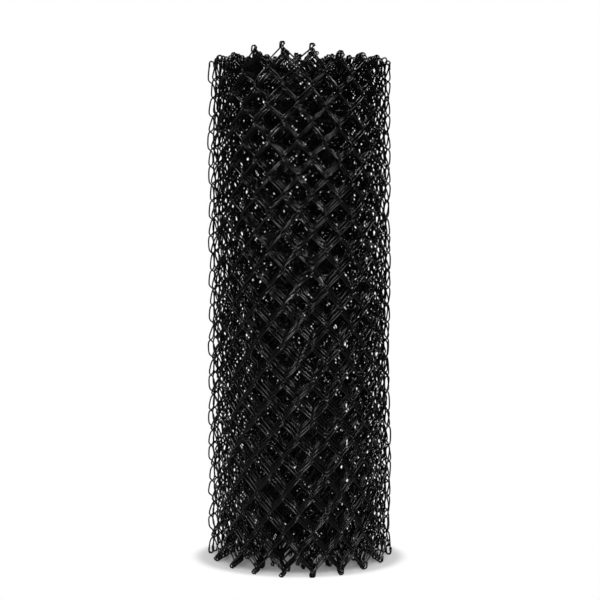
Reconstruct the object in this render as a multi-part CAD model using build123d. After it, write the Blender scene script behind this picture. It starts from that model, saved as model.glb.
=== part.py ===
from build123d import *
from math import acos, atan2, cos, degrees, hypot, pi, radians, sin, tan
import os

# A roll of chain link fence fabric, standing on end as it is sold.
# The fabric is a row of upright zigzag wires, the pickets. Each picket is a flattened
# coil whose bends hook round the bends of the next picket, so the row rolls up.
# Frame: millimetres, +Z up, floor at z = 0, origin at the middle of the roll's footprint.
# Angles turn from +X towards +Y, which is to the right when seen from outside.

# Fabric
picket_pitch = 34.0
strand_rise = 43.15
rows = 14
knuckle_leg = 6.0

# Wire, drawn three-sided: corner radius of its section, and gap between hooked wires
corner_radius = 2.0
wire_clearance = 0.45

# Roll
outer_radius = 234.2
turn_gap = 1.0
outer_pickets = 40
free_edge_angle = 180.4
core_radius = 70.0

# Inner turns, drawn as a coarser spiral of flat sides a few columns wide
inner_turn_pitch = 48.0
side_angle = 52.0
side_gap = 0.3
inner_corner_radius = 2.7

half_turns = 2 * rows
top = half_turns * strand_rise
strand_angle = atan2(strand_rise, picket_pitch)
wire_spacing = 2 * corner_radius + wire_clearance

# A bend reaches past its hinge line by half the spacing of two hooked strands.
bend_reach = wire_spacing / sin(strand_angle) / 2

# Depth of a bend's two corners from the middle of the fabric. The strand from one of
# them is already on its way to the middle where the hooked wire crosses it.
bend_depth = wire_spacing * (picket_pitch + 2 * bend_reach) / picket_pitch
fabric_depth = 2 * (bend_depth + corner_radius)

# The ends of every second picket turn under and over the hooks of its neighbour.
leg_drop = wire_spacing
leg_run = leg_drop / tan(strand_angle)
leg_tip = bend_reach + corner_radius
leg_depth = wire_clearance / 2
foot_height = leg_drop + corner_radius / 2

# The wires of an inner side lie in layers, and their bends stop short of the corner.
layer_pitch = 1.5 * inner_corner_radius + side_gap
first_layer = (inner_corner_radius - fabric_depth) / 2
bend_nose = inner_corner_radius * cos(pi / 6) / sin(strand_angle)


def wire(points, corner_towards, radius=corner_radius):
    """One three-sided wire along straight runs, a corner of its start facing one way."""
    path = Polyline(*points)
    start = Plane(origin=path @ 0, z_dir=path % 0, x_dir=corner_towards)
    section = start * RegularPolygon(radius, 3)
    return sweep(section, path=path, transition=Transition.RIGHT).solid()


def right_bend(row):
    """The wire arrives on the outer face, turns in and leaves on the inner face."""
    x, z = picket_pitch + bend_reach, row * strand_rise
    return [(x, -bend_depth, z), (x, bend_depth, z)]


def left_bend(row):
    return [(-bend_reach, 0, row * strand_rise)]


def right_ended_picket():
    """A picket that starts and ends with a hook on its right."""
    x = picket_pitch + bend_reach
    points = [(x, -bend_depth, knuckle_leg)] + right_bend(0)
    for row in range(1, half_turns):
        points += left_bend(row) if row % 2 else right_bend(row)
    points += right_bend(half_turns) + [(x, bend_depth, top - knuckle_leg)]
    return wire(points, (0, 1, 0))


def left_ended_picket():
    """A picket whose ends turn under and over the hooks of the picket on its left."""
    turned = -bend_reach - leg_run
    points = [(leg_tip, leg_depth, -leg_drop), (turned, leg_depth, -leg_drop)]
    for row in range(1, half_turns):
        points += right_bend(row) if row % 2 else left_bend(row)
    points += [(turned, -leg_depth, top + leg_drop), (leg_tip, -leg_depth, top + leg_drop)]
    return wire(points, (0, 0, 1))


def spiral_side(radius, angle, length, pitch):
    """Radius and angle of the far end of a flat side of a spiral, closed in on in steps."""
    end = radius
    for _ in range(8):
        step = acos((radius ** 2 + end ** 2 - length ** 2) / (2 * radius * end))
        end = radius - pitch * step / (2 * pi)
    return end, angle + step


def on_circle(radius, angle):
    return Vector(radius * cos(angle), radius * sin(angle), foot_height)


def placed(left, right):
    """The place of a piece of fabric: x runs left to right, y points into the roll."""
    along = right - left
    return Location(left, (0, 0, degrees(atan2(along.Y, along.X))))


def outer_turn():
    """Hinge corners of the outer turn, one picket apart, and where the last one is."""
    radius, angle = outer_radius - fabric_depth / 2, radians(free_edge_angle)
    corners = [on_circle(radius, angle)]
    for _ in range(outer_pickets):
        radius, angle = spiral_side(radius, angle, picket_pitch, fabric_depth + turn_gap)
        corners.append(on_circle(radius, angle))
    return corners, radius, angle


def inner_turns(radius, angle):
    """Corners of the inner turns, with each side's number of columns and its turn."""
    first = angle
    corners, columns = [on_circle(radius, angle)], []
    while radius > core_radius:
        chord = 2 * radius * sin(radians(side_angle) / 2)
        columns.append((max(2, round(chord / picket_pitch)), int((angle - first) / (2 * pi))))
        length = columns[-1][0] * picket_pitch
        radius, angle = spiral_side(radius, angle, length, inner_turn_pitch)
        corners.append(on_circle(radius, angle))
    return corners, columns


def zigzags(column, columns):
    """Wires of an inner side as lists of (column, row), each running edge to edge."""
    found = []
    for start in range(columns + 1):
        for way in (-1, 1):
            if (column + start) % 2 == 0 or not 0 <= start + way <= columns:
                continue
            x, row, heading, points = start, 0, way, [(start, 0)]
            while row < half_turns:
                run = min(columns - x if heading > 0 else x, half_turns - row)
                x, row, heading = x + heading * run, row + run, -heading
                points.append((x, row))
            found.append(points)
    return found


def inner_side(column, columns, start, leans, flip):
    """The wires of one flat side, layered in depth and mitred to its two corners."""
    width = columns * picket_pitch
    wires = []
    for index, points in enumerate(zigzags(column, columns)):
        y = first_layer + (columns - 1 - index if flip else index) * layer_pitch
        left = start + bend_nose + side_gap / 2 + (y - inner_corner_radius / 2) * leans[0]
        right = width - bend_nose - side_gap / 2 - (y - inner_corner_radius / 2) * leans[1]
        run = []
        for x, row in points:
            at = left if x == 0 else right if x == columns else x * picket_pitch
            run.append((at, y, row * strand_rise))
        wires.append(wire(run, (0, 1, 0), inner_corner_radius))
    return wires


def lean(before, here, after, share=0.5):
    """Slope of the cut where the fabric turns at a corner; half the turn is a mitre."""
    a, b = here - before, after - here
    return tan(abs(atan2(a.X * b.Y - a.Y * b.X, a.X * b.X + a.Y * b.Y)) * share)


def main():
    os.makedirs("parts", exist_ok=True)
    nodes = {}

    hinges, radius, angle = outer_turn()
    kinds = (right_ended_picket(), left_ended_picket())
    for k in range(outer_pickets):
        place = placed(hinges[k], hinges[k + 1])
        nodes[f"picket_{k + 1:02d}"] = [kinds[k % 2].moved(place)]

    corners, sides = inner_turns(radius, angle)
    leans = [lean(hinges[-2], corners[0], corners[1], 1)]
    leans += [lean(*corners[i - 1:i + 2]) for i in range(1, len(sides))] + [0]
    column = outer_pickets
    for i, (columns, turn) in enumerate(sides):
        start = 0 if i else (bend_reach + corner_radius) * hypot(1, leans[0])
        place = placed(corners[i], corners[i + 1])
        wires = inner_side(column, columns, start, leans[i:i + 2], i % 2)
        name = f"inner_turn_{turn + 1}"
        nodes.setdefault(name, []).extend(w.moved(place) for w in wires)
        column += columns

    boxes = [s.bounding_box(optimal=False) for solids in nodes.values() for s in solids]
    middle_x = (min(b.min.X for b in boxes) + max(b.max.X for b in boxes)) / 2
    middle_y = (min(b.min.Y for b in boxes) + max(b.max.Y for b in boxes)) / 2
    to_middle = Location((-middle_x, -middle_y, 0))
    for name, solids in nodes.items():
        export_step(Compound(children=[s.moved(to_middle) for s in solids]),
                    f"parts/{name}.step")


main()
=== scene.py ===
"""A roll of black coated chain link fabric standing on a plain white floor.

Metres, z up, the floor at z = 0 and the middle of the roll on the z axis. Angles turn from
+x towards +y, which is to the right when the fabric is seen from outside. The front of the
roll is at 270 degrees, and the free edge of the fabric is on the left of the front view.
"""
import math

import bpy
import numpy as np
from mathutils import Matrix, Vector


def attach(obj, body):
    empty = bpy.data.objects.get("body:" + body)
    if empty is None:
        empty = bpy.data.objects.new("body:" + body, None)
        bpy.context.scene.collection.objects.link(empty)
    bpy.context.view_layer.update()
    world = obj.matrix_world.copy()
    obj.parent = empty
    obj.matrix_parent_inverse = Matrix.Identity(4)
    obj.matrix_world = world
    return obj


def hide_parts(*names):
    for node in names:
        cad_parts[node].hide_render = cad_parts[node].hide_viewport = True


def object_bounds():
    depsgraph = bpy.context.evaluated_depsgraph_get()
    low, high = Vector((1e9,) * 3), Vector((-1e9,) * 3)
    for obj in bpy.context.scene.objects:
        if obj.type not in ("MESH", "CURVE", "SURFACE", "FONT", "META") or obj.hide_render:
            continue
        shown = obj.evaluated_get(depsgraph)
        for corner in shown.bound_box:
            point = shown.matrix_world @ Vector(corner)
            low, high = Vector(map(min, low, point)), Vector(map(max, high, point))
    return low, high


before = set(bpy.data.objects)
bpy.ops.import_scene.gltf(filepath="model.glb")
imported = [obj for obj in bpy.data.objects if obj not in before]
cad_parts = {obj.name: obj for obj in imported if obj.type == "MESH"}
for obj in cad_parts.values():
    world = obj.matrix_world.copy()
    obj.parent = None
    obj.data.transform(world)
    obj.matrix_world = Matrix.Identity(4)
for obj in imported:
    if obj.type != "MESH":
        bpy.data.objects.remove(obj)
cad_low, cad_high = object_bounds()

TURN = 2 * math.pi

# Fabric, as the part's source has it: two rows make one diamond
PITCH = 0.0340
ROWS = 28
PICKETS = 40
FREE_EDGE = math.radians(180.4)

# Radius of the round wire, and the flattened coil that it is wound to: how far a bend
# reaches past its hinge line, how far a strand bows in or out, and the shape of its
# plan, where a power of 1 is an ellipse and less is squarer
WIRE = 0.00185
BEND_REACH = 0.0026
BOW = 0.0058
OVAL_POWER = 2 / 3.4
OVAL_POINTS = 721

# Knuckles: the coil is cut TRIM rows short of each end. A knuckle is a half circle of
# this radius across the fabric, with a leg on one face that is straight from its base to
# its tip and leans out. It stands this share of the bend's reach past the hinge line
TRIM = 0.11
KNUCKLE = 0.0052
KNUCKLE_LEG = 0.009
KNUCKLE_BASE = 0.004
KNUCKLE_LEAN = 1.1
KNUCKLE_REACH = 0.4

# A cut end is rounded off by one smaller ring: its size and its place in wire radii
END_SIZE = 0.6
END_REACH = 0.4

# How finely a picket is drawn: stations as shares of a row, steps round a knuckle and
# sides of the wire. The outer turns are drawn finest
FINE = (0.0, 0.05, 0.13, 0.3, 0.5, 0.7, 0.87, 0.95), 6, 8
MEDIUM = (0.0, 0.06, 0.16, 0.5, 0.84, 0.94), 4, 6
PLAIN = (0.03, 0.2, 0.5, 0.8, 0.97), 3, 5
LAST_FINE_TURN = 2
LAST_MEDIUM_TURN = 5

# Spiral: the outer turns nest diamond on diamond, so each has two pickets fewer than the
# last, and the turns inside them lie at DEEP_PITCH. Each of the part's coarse inner turns
# stands for several turns of real pickets, given here by first and last
HINGE_RADIUS = 0.2243
CORE = 0.046
NESTED_PITCH = 2 * PITCH / TURN
NESTED_TURNS = 4
DEEP_PITCH = 0.0093
CLOSING_STEPS = 6
TURNS_PER_NODE = {"inner_turn_1": (2, 5), "inner_turn_2": (6, 10), "inner_turn_3": (11, 20)}

# Wire bent by machine but shaken in handling: how far bends wander, how the bows of the
# outer and the inner strands vary, how knuckles are twisted, and how far the bare bends of
# the free edge stand in and out
WANDER = 0.0004
OUTWARD_BOW = (0.72, 1.0)
INWARD_BOW = (0.9, 1.5)
KNUCKLE_TWIST = (0.4, 1.1)
FRAY = 0.004
FRAY_RANGE = (-1, 0.4)

# Dents: their depth, the shares of it from a wave and from chance, the shares found all
# round the roll and only at its two sides, and how fast the wave turns per row and per
# radian round the roll, with a swerve that keeps it from repeating evenly
DENT = 0.009
DENT_WAVY, DENT_CHANCE = 0.7, 0.3
DENT_ALL_ROUND, DENT_AT_SIDES = 0.2, 0.8
DENT_PER_ROW = 0.8
DENT_PER_ANGLE = 5
DENT_SWERVE, DENT_SWERVE_PER_ROW = 1.7, 0.31

# Top: at the front the outer turn stands proud, within PROUD_WIDTH of PROUD_AT. Beside
# that stretch the rim sinks, less for the turns inside, and dips towards the front
PROUD = 0.014
PROUD_AT = math.radians(259)
PROUD_WIDTH = math.radians(26)
PROUD_EDGE_POWER = 4
SINK = 0.011
SINK_SPARED = 0.8
DIP = 0.015
TOP_POWER = 3

# The next turns in, counted from half a turn past the free edge: each stands a little
# higher at mid height than the one outside it, and slips round to the front on the
# right-hand side. The rise is whole RAISED_ROWS above the foot and ends at the head
FIRST_NESTED = 0.5
NEXT_TURNS = 2.3
RAISE = 0.0085
RAISED_ROWS = 6
RAISED_POWER = 4
SLIP = 0.005
RIGHT = math.radians(340)

# The turns deep inside run less evenly: by how much, after how many turns, and the waves
# along the fabric and upwards, which lean from row to row
UNEVEN = 0.012
UNEVEN_TURNS = 6
UNEVEN_ALONG = 2.61
UNEVEN_UPWARDS = 2.37
UNEVEN_PER_ROW = 0.16
UNEVEN_LAG = 1.3

# Height of the lowest hinge row over the floor, and height of a row
FOOT = KNUCKLE + WIRE + WANDER
RISE = (cad_high[2] - 2 * FOOT) / ROWS

# Coating: dark and lighter shade, where the cloud passes from one to the other, and gloss
COAT_SHADES = (0.001, 0.001, 0.0011, 1), (0.003, 0.003, 0.0028, 1)
COAT_STOPS = 0.35, 0.75
COAT_ROUGHNESS = 0.08, 0.14
COAT_SPECULAR = 0.45
CLOUD_SCALE = 60
CLOUD_DETAIL = 3
GRAIN_SCALE = 900
GRAIN_STRENGTH = 0.15
GRAIN_HEIGHT = 0.0003

# Floor: its size and what the lamps see of it. Round the roll lies a painted shadow, an oval of
# this half width and half depth with its middle in front of the roll's, where the grey paint
# and the real shadow that the lamps cast on it show through the white. It is dark as far as the
# first stop, paler at the second and gone at the oval's edge
FLOOR_SIZE = 60
FLOOR_GREY = (0.5, 0.5, 0.5, 1)
FLOOR_ROUGHNESS = 0.9
SHADOW_REACH = (0.268, 0.179)
SHADOW_MIDDLE = -0.045
SHADOW_DARK = 0.67, (0.12, 0.12, 0.12, 1)
SHADOW_HALF = 0.85, (0.45, 0.45, 0.45, 1)

# Light from all round, and lamps aimed at one point: name, place, size and power
WHITE = (1, 1, 1, 1)
WORLD_STRENGTH = 0.02
LAMP_AIM = (0, 0, 0.6)
LAMPS = (("front", (0.0, -2.3, 2.6), (1.3, 1.0), 36),
         ("left", (-2.2, -1.25, 2.3), (0.9, 0.5), 42),
         ("right", (2.2, -1.25, 2.3), (0.9, 0.5), 42))

# Camera, level and straight in front, and the photo's scale at the roll's axis
CAMERA_DISTANCE = 2.53
CAMERA_HEIGHT = 0.762
PICTURE = 600
PIXELS_PER_METRE = 403.4
HORIZON_ROW = 242.0
AXIS_COLUMN = 299.5
SENSOR = 36

# Chance comes from one seed, drawn hinge by hinge and then picket by picket
SEED = 7
rng = np.random.default_rng(SEED)


def oval(share):
    """Plan of the flattened coil: share 0 is its right end, then inner face, left, outer."""
    angle = np.linspace(0, TURN, OVAL_POINTS)
    c, s = np.cos(angle), -np.sin(angle)
    x = PITCH / 2 + (PITCH / 2 + BEND_REACH) * np.sign(c) * np.abs(c) ** OVAL_POWER
    y = BOW * np.sign(s) * np.abs(s) ** OVAL_POWER
    run = np.concatenate([[0], np.cumsum(np.hypot(np.diff(x), np.diff(y)))])
    at = (share % 1.0) * run[-1]
    return np.interp(at, run, x), np.interp(at, run, y)


def knuckle(x, side, z, way, steps):
    """A bent-over end: a leg on one face, then round the selvage to the other face."""
    points = [(x, side * KNUCKLE * KNUCKLE_LEAN, z - way * KNUCKLE_LEG),
              (x, side * KNUCKLE, z - way * KNUCKLE_BASE)]
    for i in range(steps + 1):
        a = math.pi * i / steps
        points.append((x, side * KNUCKLE * math.cos(a), z + way * KNUCKLE * math.sin(a)))
    return np.array(points)


class Picket:
    """One kind of picket: its centre line, the rings round it and its faces.

    Its x runs from the left hinge, 0, to the right hinge, PITCH. Its y points out of the
    roll and its z up from the lowest hinge row.
    """

    def __init__(self, right_ended, stations, steps, sides):
        """A picket with both ends on its right or left, drawn as finely as asked for."""
        self.right_ended = right_ended
        self.sides = sides
        self.lay_centre(stations, steps)
        self.rings = self.round_section()
        self.close_ends()
        self.faces = self.skin()

    def lay_centre(self, stations, steps):
        """Centre line from the foot's knuckle to the head's, and each point's row."""
        rows = np.array([row + s for row in range(ROWS) for s in stations])
        rows = rows[(rows > TRIM) & (rows < ROWS - TRIM)]
        begin = 0.0 if self.right_ended else 0.5
        x, y = oval(begin + rows / 2)
        coil = np.stack([x, y, rows * RISE], axis=1)
        if self.right_ended:
            x, foot_side, head_side = PITCH + KNUCKLE_REACH * BEND_REACH, 1, -1
        else:
            x, foot_side, head_side = -KNUCKLE_REACH * BEND_REACH, -1, 1
        foot = knuckle(x, foot_side, 0.0, -1, steps)
        head = knuckle(x, head_side, ROWS * RISE, 1, steps)[::-1]
        at_foot, at_head = np.zeros(len(foot)), np.full(len(head), float(ROWS))
        self.centre = np.concatenate([foot, coil, head])
        self.row = np.concatenate([at_foot, rows, at_head])
        self.bent_over = np.isin(self.row, (0, ROWS)).astype(float)

    def round_section(self):
        """Offsets of a round section, turned as little as possible from ring to ring."""
        tangent = np.gradient(self.centre, axis=0)
        tangent /= np.linalg.norm(tangent, axis=1)[:, None]
        self.tangent = tangent
        angles = (np.arange(self.sides) * TURN / self.sides)[:, None]
        normal = np.cross(tangent[0], (1.0, 0.0, 0.0))
        rings = []
        for t in tangent:
            normal = normal - t * np.dot(normal, t)
            normal /= np.linalg.norm(normal)
            other = np.cross(t, normal)
            rings.append(WIRE * (np.cos(angles) * normal + np.sin(angles) * other))
        return np.array(rings)

    def close_ends(self):
        """Rounds off both cut ends with one smaller ring each."""
        for end, at in ((-1, 0), (1, -1)):
            ring = self.rings[at] * END_SIZE + end * self.tangent[at] * WIRE * END_REACH
            grown = []
            for old, new in ((self.rings, ring), (self.centre, self.centre[at]),
                             (self.row, self.row[at]), (self.bent_over, self.bent_over[at])):
                grown.append(np.concatenate([[new], old] if at == 0 else [old, [new]]))
            self.rings, self.centre, self.row, self.bent_over = grown

    def skin(self):
        """Faces between each ring and the next."""
        j = np.arange(self.sides)
        k = (j + 1) % self.sides
        faces = []
        for i in range(len(self.centre) - 1):
            low, high = i * self.sides, (i + 1) * self.sides
            faces.append(np.stack([low + j, low + k, high + k, high + j], axis=1))
        return np.concatenate(faces)

    def caps(self):
        """The two faces that close the cut ends."""
        count, sides = len(self.centre), self.sides
        return [np.arange(sides)[::-1], np.arange((count - 1) * sides, count * sides)]

    def shaken(self, left, right):
        """The centre line as its two hinges and the handling leave it."""
        centre = self.centre.copy()
        row = np.minimum(self.row.astype(int), ROWS - 1)
        part = (self.row - row)[:, None]
        on_right = (np.arange(ROWS + 1) % 2 == 0) == self.right_ended
        wander = np.where(on_right[:, None], right.wander, left.wander)
        bows = np.where(centre[:, 1] > 0, rng.uniform(*OUTWARD_BOW, ROWS)[row],
                        rng.uniform(*INWARD_BOW, ROWS)[row])
        centre[:, 1] *= np.where(self.bent_over > 0, 1.0, bows)
        foot_twist, head_twist = rng.uniform(*KNUCKLE_TWIST, 2) * (1 if self.right_ended else -1)
        twist = np.where(self.row < 1, foot_twist, head_twist)
        centre[:, 0] += self.bent_over * twist * centre[:, 1]
        centre += (1 - part) * wander[row] + part * wander[row + 1]
        centre[:, 2] += FOOT
        return centre

    def placed(self, left, right):
        """Vertices of this picket between two hinges."""
        points = self.shaken(left, right)[:, None, :] + self.rings
        along = np.array([right.x - left.x, right.y - left.y])
        out = np.array([along[1], -along[0]]) / np.linalg.norm(along)
        x = left.x + points[..., 0] * along[0] / PITCH + points[..., 1] * out[0]
        y = left.y + points[..., 0] * along[1] / PITCH + points[..., 1] * out[1]
        return np.stack([x, y, points[..., 2]], axis=-1).reshape(-1, 3)


class Hinge:
    """Where two pickets hook into each other, from foot to head.

    Its wander is how far the bend at each row strays along, out of and up the fabric.
    """

    def __init__(self, radius, angle):
        """Slips the hinge to its place in the nest of turns and lets its bends stray."""
        turns_in = (angle - FREE_EDGE) / TURN
        self.turn = int(turns_in) + 1
        deep = max(0.0, turns_in - FIRST_NESTED)
        nested = min(NEXT_TURNS, deep)
        place = angle - SLIP * nested * max(0.0, math.cos(angle - RIGHT)) / radius
        self.x, self.y = radius * math.cos(place), radius * math.sin(place)
        self.wander = rng.uniform(-WANDER, WANDER, (ROWS + 1, 3))
        self.wander[:, 1] = dents(angle)
        if angle == FREE_EDGE:
            self.wander[:, 1] = FRAY * rng.uniform(*FRAY_RANGE, ROWS + 1)
        row = np.arange(ROWS + 1)
        along, upwards = unevenness(angle, deep)
        self.wander[:, 0] += along
        self.wander[:, 2] += upwards
        raised = np.minimum(1, row / RAISED_ROWS) * (1 - (row / ROWS) ** RAISED_POWER)
        self.wander[:, 2] += RAISE * nested * raised
        inside = min(1.0, deep / FIRST_NESTED)
        self.wander[:, 2] -= settle(angle, inside) * (row / ROWS) ** TOP_POWER


def dents(angle):
    """How far each row is pushed in, deepest on the roll's left and right."""
    row = np.arange(ROWS + 1)
    swerve = DENT_SWERVE * np.sin(DENT_SWERVE_PER_ROW * row)
    wave = np.sin(DENT_PER_ROW * row + DENT_PER_ANGLE * angle + swerve)
    dent = DENT_WAVY * np.maximum(0, wave) ** 2 + DENT_CHANCE * rng.uniform(0, 1, ROWS + 1)
    return -DENT * (DENT_ALL_ROUND + DENT_AT_SIDES * math.cos(angle) ** 2) * dent


def unevenness(angle, deep):
    """How far each row strays along and up the fabric, deep inside the roll."""
    row = np.arange(ROWS + 1)
    uneven = UNEVEN * min(1.0, deep / UNEVEN_TURNS) ** 2
    between_ends = np.sin(math.pi * row / ROWS)
    along = uneven * np.sin(UNEVEN_ALONG * angle + UNEVEN_PER_ROW * row)
    upwards = np.sin(UNEVEN_UPWARDS * angle + UNEVEN_PER_ROW * row + UNEVEN_LAG)
    return along, uneven * between_ends * upwards


def settle(angle, inside):
    """How far the top of the fabric lies below the outer turn's highest knuckles."""
    front = math.exp(-((angle % TURN - PROUD_AT) / PROUD_WIDTH) ** PROUD_EDGE_POWER)
    beside = SINK * (1 - SINK_SPARED * inside) + DIP * max(0.0, -math.sin(angle))
    return beside * (1 - front) + PROUD * front * inside


def next_place(radius, angle, pitch):
    """Radius and angle of the next hinge of the spiral, closed in on in steps."""
    end = radius
    for _ in range(CLOSING_STEPS):
        step = math.acos((radius ** 2 + end ** 2 - PITCH ** 2) / (2 * radius * end))
        end = radius - pitch * step / TURN
    return end, angle + step


def hinges():
    """Hinges of the whole spiral, one picket apart, with its middle over the origin."""
    radius, angle = HINGE_RADIUS, FREE_EDGE
    found = []
    while radius > CORE:
        found.append(Hinge(radius, angle))
        pitch = NESTED_PITCH if found[-1].turn <= NESTED_TURNS else DEEP_PITCH
        radius, angle = next_place(radius, angle, pitch)
    middle_x = (max(h.x for h in found) + min(h.x for h in found)) / 2
    middle_y = (max(h.y for h in found) + min(h.y for h in found)) / 2
    for hinge in found:
        hinge.x -= middle_x
        hinge.y -= middle_y
    return found


def wire_mesh(name, blocks):
    """One object of one or more pickets; a block is a picket's vertices and its kind."""
    faces, start = [], 0
    for vertices, kind in blocks:
        faces += (kind.faces + start).tolist()
        faces += [(cap + start).tolist() for cap in kind.caps()]
        start += len(vertices)
    mesh = bpy.data.meshes.new(name)
    mesh.from_pydata(np.concatenate([v for v, _ in blocks]).tolist(), [], faces)
    mesh.polygons.foreach_set("use_smooth", [True] * len(mesh.polygons))
    piece = bpy.data.objects.new(name, mesh)
    bpy.context.scene.collection.objects.link(piece)
    return piece


def coated_wire():
    """Black vinyl coating, a little uneven in shade and gloss, with a fine grain."""
    material = bpy.data.materials.new("coated_wire")
    material.use_nodes = True
    nodes, links = material.node_tree.nodes, material.node_tree.links
    shader = nodes["Principled BSDF"]
    shader.inputs["Specular IOR Level"].default_value = COAT_SPECULAR
    place = nodes.new("ShaderNodeTexCoord")
    cloud = nodes.new("ShaderNodeTexNoise")
    cloud.inputs["Scale"].default_value = CLOUD_SCALE
    cloud.inputs["Detail"].default_value = CLOUD_DETAIL
    links.new(place.outputs["Object"], cloud.inputs["Vector"])
    shade = nodes.new("ShaderNodeValToRGB")
    for stop, position, colour in zip(shade.color_ramp.elements, COAT_STOPS, COAT_SHADES):
        stop.position, stop.color = position, colour
    links.new(cloud.outputs["Fac"], shade.inputs["Fac"])
    links.new(shade.outputs["Color"], shader.inputs["Base Color"])
    gloss = nodes.new("ShaderNodeMapRange")
    gloss.inputs["To Min"].default_value, gloss.inputs["To Max"].default_value = COAT_ROUGHNESS
    links.new(cloud.outputs["Fac"], gloss.inputs["Value"])
    links.new(gloss.outputs["Result"], shader.inputs["Roughness"])
    grain = nodes.new("ShaderNodeTexNoise")
    grain.inputs["Scale"].default_value = GRAIN_SCALE
    links.new(place.outputs["Object"], grain.inputs["Vector"])
    bump = nodes.new("ShaderNodeBump")
    bump.inputs["Strength"].default_value = GRAIN_STRENGTH
    bump.inputs["Distance"].default_value = GRAIN_HEIGHT
    links.new(grain.outputs["Fac"], bump.inputs["Height"])
    links.new(bump.outputs["Normal"], shader.inputs["Normal"])
    return material


def dressed(piece, coat, node):
    """Coats a piece of wire, hangs it under the root and hides the node of the part it replaces."""
    piece.data.materials.append(coat)
    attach(piece, "root")
    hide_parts(node)


def build_wires():
    """Each outer picket is a piece of its own, and each inner turn is one piece."""
    levels = (FINE, MEDIUM, PLAIN)
    kinds = [[Picket(right_ended, *level) for right_ended in (True, False)] for level in levels]
    coat = coated_wire()
    spiral = hinges()
    turns = {}
    for k in range(len(spiral) - 1):
        turn = 1 if k < PICKETS else max(2, spiral[k].turn)
        level = (turn > LAST_FINE_TURN) + (turn > LAST_MEDIUM_TURN)
        kind = kinds[level][k % 2]
        block = kind.placed(spiral[k], spiral[k + 1]), kind
        if turn == 1:
            dressed(wire_mesh(f"picket_{k + 1:02d}_wire", [block]), coat, f"picket_{k + 1:02d}")
        else:
            turns.setdefault(turn, []).append(block)
    for turn, blocks in turns.items():
        node = next(n for n, (low, high) in TURNS_PER_NODE.items() if low <= turn <= high)
        dressed(wire_mesh(f"turn_{turn:02d}_wires", blocks), coat, node)


def shadow_fade(nodes, links):
    """Painted shadow: grey under the roll that turns to white in an oval round it."""
    place = nodes.new("ShaderNodeTexCoord")
    rounded = nodes.new("ShaderNodeVectorMath")
    rounded.operation = "MULTIPLY"
    rounded.inputs[1].default_value = (1 / SHADOW_REACH[0], 1 / SHADOW_REACH[1], 1)
    links.new(place.outputs["Object"], rounded.inputs[0])
    away = nodes.new("ShaderNodeVectorMath")
    away.operation = "DISTANCE"
    away.inputs[1].default_value = (0, SHADOW_MIDDLE / SHADOW_REACH[1], 0)
    links.new(rounded.outputs["Vector"], away.inputs[0])
    fade = nodes.new("ShaderNodeValToRGB")
    fade.color_ramp.interpolation = "EASE"
    fade.color_ramp.elements.new(SHADOW_HALF[0]).color = SHADOW_HALF[1]
    fade.color_ramp.elements[0].position, fade.color_ramp.elements[0].color = SHADOW_DARK
    links.new(away.outputs["Value"], fade.inputs["Fac"])
    return fade


def floor_paint():
    """Grey for the lamps; seen directly, white but for a painted and a real shadow round the roll.
    """
    material = bpy.data.materials.new("floor")
    material.use_nodes = True
    nodes, links = material.node_tree.nodes, material.node_tree.links
    paint = nodes["Principled BSDF"]
    paint.inputs["Base Color"].default_value = FLOOR_GREY
    paint.inputs["Roughness"].default_value = FLOOR_ROUGHNESS
    paint.inputs["Specular IOR Level"].default_value = 0.0
    white = nodes.new("ShaderNodeEmission")
    fade = shadow_fade(nodes, links)
    rays = nodes.new("ShaderNodeLightPath")
    direct = nodes.new("ShaderNodeMath")
    direct.operation = "MULTIPLY"
    links.new(rays.outputs["Is Camera Ray"], direct.inputs[0])
    links.new(fade.outputs["Color"], direct.inputs[1])
    mix = nodes.new("ShaderNodeMixShader")
    links.new(direct.outputs["Value"], mix.inputs["Fac"])
    links.new(paint.outputs["BSDF"], mix.inputs[1])
    links.new(white.outputs["Emission"], mix.inputs[2])
    links.new(mix.outputs["Shader"], nodes["Material Output"].inputs["Surface"])
    return material


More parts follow.
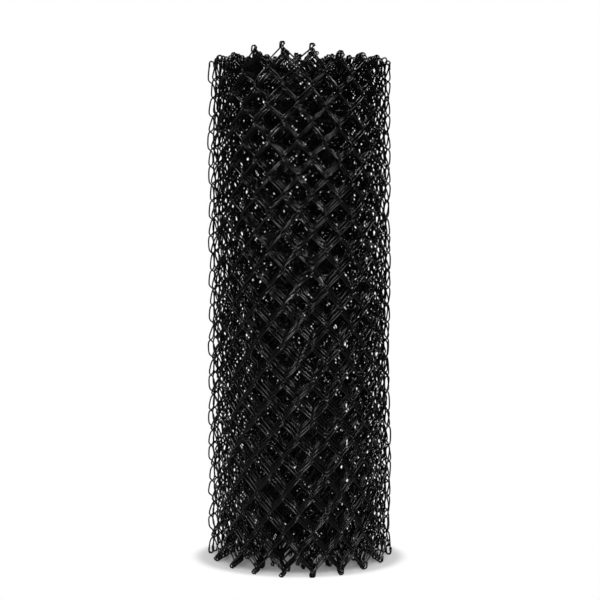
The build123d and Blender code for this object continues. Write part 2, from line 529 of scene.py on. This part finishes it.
def white_floor():
    """A floor that reaches past the edge of every view."""
    bpy.ops.mesh.primitive_plane_add(size=FLOOR_SIZE, location=(0, 0, 0))
    floor = bpy.context.object
    floor.name = "floor"
    floor.data.materials.append(floor_paint())


def white_world():
    """Soft light from all round; seen directly it is pure white."""
    world = bpy.data.worlds.new("world")
    bpy.context.scene.world = world
    world.use_nodes = True
    nodes, links = world.node_tree.nodes, world.node_tree.links
    light = nodes["Background"]
    light.inputs["Color"].default_value = WHITE
    light.inputs["Strength"].default_value = WORLD_STRENGTH
    white = nodes.new("ShaderNodeBackground")
    white.inputs["Color"].default_value = WHITE
    white.inputs["Strength"].default_value = 1.0
    rays = nodes.new("ShaderNodeLightPath")
    mix = nodes.new("ShaderNodeMixShader")
    links.new(rays.outputs["Is Camera Ray"], mix.inputs["Fac"])
    links.new(light.outputs["Background"], mix.inputs[1])
    links.new(white.outputs["Background"], mix.inputs[2])
    links.new(mix.outputs["Shader"], nodes["World Output"].inputs["Surface"])


def soft_light(name, place, size, power):
    """A rectangular lamp, aimed at the roll."""
    lamp = bpy.data.lights.new(name, "AREA")
    lamp.shape = "RECTANGLE"
    lamp.size, lamp.size_y = size
    lamp.energy = power
    source = bpy.data.objects.new(name, lamp)
    source.location = place
    source.rotation_euler = (Vector(LAMP_AIM) - Vector(place)).to_track_quat("-Z", "Y").to_euler()
    bpy.context.scene.collection.objects.link(source)


def camera():
    """Level camera in front; shifts put the horizon and the roll's axis where the photo has them."""
    lens = bpy.data.cameras.new("camera")
    lens.sensor_width = SENSOR
    lens.lens = SENSOR * PIXELS_PER_METRE * CAMERA_DISTANCE / PICTURE
    lens.shift_y = (HORIZON_ROW - PICTURE / 2) / PICTURE
    lens.shift_x = (PICTURE / 2 - AXIS_COLUMN) / PICTURE
    eye = bpy.data.objects.new("camera", lens)
    eye.location = (0, -CAMERA_DISTANCE, CAMERA_HEIGHT)
    eye.rotation_euler = (math.pi / 2, 0, 0)
    bpy.context.scene.collection.objects.link(eye)
    bpy.context.scene.camera = eye


build_wires()
white_floor()
white_world()
for lamp in LAMPS:
    soft_light(*lamp)
camera()
bpy.context.scene.view_settings.view_transform = "Standard"
